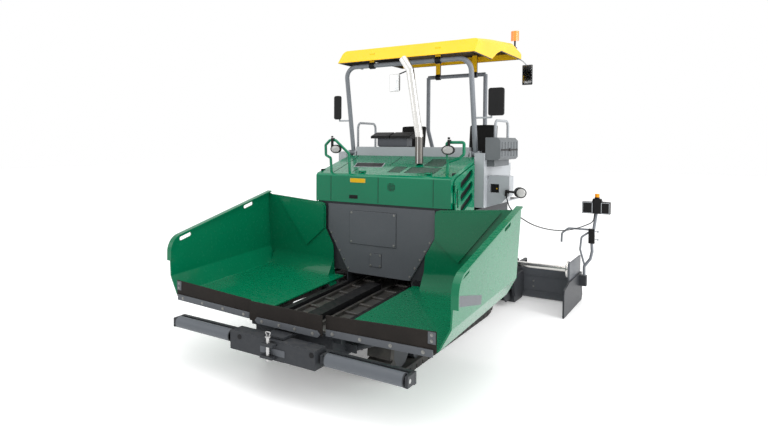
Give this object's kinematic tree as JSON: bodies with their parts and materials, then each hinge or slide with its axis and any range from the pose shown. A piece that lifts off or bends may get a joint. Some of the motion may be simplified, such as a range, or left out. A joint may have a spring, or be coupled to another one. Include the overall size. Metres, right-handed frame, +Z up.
{
  "type": "tracked asphalt paver",
  "caption": "Tracked asphalt paver with a folding hopper, conveyor, folding roof, operator platform and an extending screed behind its augers.",
  "frame": {"origin": "on the ground, at the middle of the machine's length and width", "axes": "+X to the machine's left, +Y to its rear, towards the screed, +Z up"},
  "size_m": [4.062, 5.78, 3.92],
  "materials": {
    "green_paint": "gloss green paint",
    "grey_paint": "satin grey paint",
    "dark_paint": "satin dark grey paint",
    "rubber_flap": "matt rubber",
    "roller_steel": "satin light grey paint",
    "worn_steel": "dull wearing steel",
    "bright_steel": "polished",
    "track_rubber": "matt track pads",
    "black_plastic": "matt black",
    "seat_cover": "black seat cover",
    "yellow_roof": "gloss yellow",
    "beacon_amber": "clear amber"
  },
  "bodies": {
    "root": {"main_frame": "grey_paint", "engine_block": "worn_steel", "track_frames": "dark_paint", "track_left": "track_rubber", "track_right": "track_rubber", "conveyor_floor": "worn_steel", "conveyor_slats": "worn_steel", "conveyor_guards": "grey_paint", "centre_plate": "grey_paint", "flap_centre": "rubber_flap", "flap_bar_centre": "grey_paint", "hood_surround": "green_paint", "platform": "grey_paint", "work_lamps": "black_plastic", "exhaust": "bright_steel", "toolbox": "grey_paint", "auger_carrier": "dark_paint", "levelling_cylinders": "dark_paint"},
    "wing_left": {"wing_left": "green_paint", "flap_left": "rubber_flap", "flap_bar_left": "grey_paint"},
    "wing_right": {"wing_right": "green_paint", "flap_right": "rubber_flap", "flap_bar_right": "grey_paint"},
    "wing_barrel_left": {"wing_barrel_left": "dark_paint"},
    "wing_barrel_right": {"wing_barrel_right": "dark_paint"},
    "wing_rod_left": {"wing_rod_left": "bright_steel"},
    "wing_rod_right": {"wing_rod_right": "bright_steel"},
    "push_beam": {"push_beam": "grey_paint"},
    "push_roller_left": {"push_roller_left": "roller_steel"},
    "push_roller_right": {"push_roller_right": "roller_steel"},
    "hood_lid": {"hood_lid": "green_paint"},
    "side_door_left": {"side_door_left": "green_paint"},
    "side_door_right": {"side_door_right": "green_paint"},
    "front_hoop": {"front_hoop": "grey_paint", "hoop_mirrors": "black_plastic"},
    "roof": {"roof_panel": "yellow_roof", "beacon": "beacon_amber"},
    "rear_posts": {"rear_posts": "grey_paint"},
    "console": {"console": "grey_paint"},
    "seat_left": {"seat_base_left": "dark_paint", "seat_left": "seat_cover"},
    "seat_right": {"seat_base_right": "dark_paint", "seat_right": "seat_cover"},
    "auger_left": {"auger_left": "worn_steel"},
    "auger_right": {"auger_right": "worn_steel"},
    "screed": {"tow_arms": "dark_paint", "screed_frame": "dark_paint", "screed_walkway": "dark_paint"},
    "lift_barrels": {"lift_barrels": "dark_paint"},
    "lift_rods": {"lift_rods": "bright_steel"},
    "extension_left": {"extension_left": "dark_paint", "extension_tube_left": "bright_steel", "end_gate_left": "dark_paint", "control_post_left": "black_plastic"},
    "extension_right": {"extension_right": "dark_paint", "extension_tube_right": "bright_steel", "end_gate_right": "dark_paint", "control_post_right": "black_plastic"},
    "panel_cable": {"panel_cable": "black_plastic"}
  },
  "joints": [
    {"name": "wing_left_fold", "type": "hinge", "parent": "root", "child": "wing_left", "pos_m": [0.5, -2.17, 0.54833], "axis": [0, -0.9989, -0.0469], "range_deg": [0, 44]},
    {"name": "wing_barrel_left_swing", "type": "hinge", "parent": "root", "child": "wing_barrel_left", "pos_m": [0.53, -2.17, 0.385], "axis": [0, -0.9989, -0.0469], "range_deg": [0, 38]},
    {"name": "wing_rod_left_slide", "type": "slide", "parent": "wing_barrel_left", "child": "wing_rod_left", "axis": [0.9169, -0.0187, 0.3987], "range_m": [0, 0.1132]},
    {"name": "wing_right_fold", "type": "hinge", "parent": "root", "child": "wing_right", "pos_m": [-0.5, -2.17, 0.54833], "axis": [0, 0.9989, 0.0469], "range_deg": [0, 44]},
    {"name": "wing_barrel_right_swing", "type": "hinge", "parent": "root", "child": "wing_barrel_right", "pos_m": [-0.53, -2.17, 0.385], "axis": [0, 0.9989, 0.0469], "range_deg": [0, 38]},
    {"name": "wing_rod_right_slide", "type": "slide", "parent": "wing_barrel_right", "child": "wing_rod_right", "axis": [-0.9169, -0.0187, 0.3987], "range_m": [0, 0.1132]},
    {"name": "push_beam_swivel", "type": "hinge", "parent": "root", "child": "push_beam", "pos_m": [0, -2.71, 0.428], "axis": [0, 0, 1], "range_deg": [-4, 4]},
    {"name": "push_roller_left_spin", "type": "hinge", "parent": "push_beam", "child": "push_roller_left", "pos_m": [0.9225, -2.725, 0.428], "axis": [1, 0, 0], "continuous": true},
    {"name": "push_roller_right_spin", "type": "hinge", "parent": "push_beam", "child": "push_roller_right", "pos_m": [-0.9225, -2.725, 0.428], "axis": [1, 0, 0], "continuous": true},
    {"name": "hood_lid_tilt", "type": "hinge", "parent": "root", "child": "hood_lid", "pos_m": [0.16, -0.634, 1.97062], "axis": [1, 0, 0], "range_deg": [0, 70]},
    {"name": "side_door_left_swing", "type": "hinge", "parent": "root", "child": "side_door_left", "pos_m": [0.914, -0.65, 1.7], "axis": [0, 0, -1], "range_deg": [0, 85]},
    {"name": "side_door_right_swing", "type": "hinge", "parent": "root", "child": "side_door_right", "pos_m": [-0.914, -0.65, 1.7], "axis": [0, 0, 1], "range_deg": [0, 85]},
    {"name": "roof_fold", "type": "hinge", "parent": "root", "child": "front_hoop", "pos_m": [0, 0.184, 2.19], "axis": [-1, 0, 0], "range_deg": [0, 55]},
    {"name": "roof_level", "type": "hinge", "parent": "front_hoop", "child": "roof", "pos_m": [0, -0.03, 3.345], "axis": [-1, 0, 0], "range_deg": [-55.5, 0]},
    {"name": "rear_posts_fold", "type": "hinge", "parent": "root", "child": "rear_posts", "pos_m": [0, 2.024, 2.19], "axis": [-1, 0, 0], "range_deg": [0, 55.5]},
    {"name": "console_slide", "type": "slide", "parent": "root", "child": "console", "axis": [1, 0, 0], "range_m": [0, 0.45]},
    {"name": "seat_left_slide", "type": "slide", "parent": "root", "child": "seat_left", "axis": [1, 0, 0], "range_m": [-0.1, 0.03]},
    {"name": "seat_right_slide", "type": "slide", "parent": "root", "child": "seat_right", "axis": [1, 0, 0], "range_m": [-0.39, 0.05]},
    {"name": "auger_left_spin", "type": "hinge", "parent": "root", "child": "auger_left", "pos_m": [0.45, 1.638, 0.3], "axis": [1, 0, 0], "continuous": true},
    {"name": "auger_right_spin", "type": "hinge", "parent": "root", "child": "auger_right", "pos_m": [-0.45, 1.638, 0.3], "axis": [1, 0, 0], "continuous": true},
    {"name": "screed_lift", "type": "hinge", "parent": "root", "child": "screed", "pos_m": [0, -0.56, 0.56], "axis": [1, 0, 0], "range_deg": [0, 10]},
    {"name": "lift_barrels_swing", "type": "hinge", "parent": "root", "child": "lift_barrels", "pos_m": [0, 1.655, 1.86], "axis": [1, 0, 0], "range_deg": [0, 0.16]},
    {"name": "lift_rods_slide", "type": "slide", "parent": "lift_barrels", "child": "lift_rods", "axis": [0, 0.1433, -0.9897], "range_m": [-0.4244, 0]},
    {"name": "extension_left_slide", "type": "slide", "parent": "screed", "child": "extension_left", "axis": [1, 0, 0], "range_m": [-0.62, 0.1]},
    {"name": "extension_right_slide", "type": "slide", "parent": "screed", "child": "extension_right", "axis": [-1, 0, 0], "range_m": [-0.62, 0.1]},
    {"name": "panel_cable_swing", "type": "hinge", "parent": "extension_left", "child": "panel_cable", "pos_m": [1.835, 2.385, 1.235], "axis": [0, 0, 1], "range_deg": [-2.47, 15.3]}
  ],
  "couplings": [
    {"joint": "wing_barrel_left_swing", "follows": "wing_left_fold", "ratio": 0.84667},
    {"joint": "wing_rod_left_slide", "follows": "wing_left_fold", "m_per_rad": 0.14457},
    {"joint": "wing_barrel_right_swing", "follows": "wing_right_fold", "ratio": 0.84667},
    {"joint": "wing_rod_right_slide", "follows": "wing_right_fold", "m_per_rad": 0.14457},
    {"joint": "roof_level", "follows": "roof_fold", "ratio": -1},
    {"joint": "rear_posts_fold", "follows": "roof_fold", "ratio": 1},
    {"joint": "lift_barrels_swing", "follows": "screed_lift", "ratio": 0.01532},
    {"joint": "lift_rods_slide", "follows": "screed_lift", "m_per_rad": -2.3841},
    {"joint": "panel_cable_swing", "follows": "extension_left_slide", "rad_per_m": -0.4223}
  ]
}
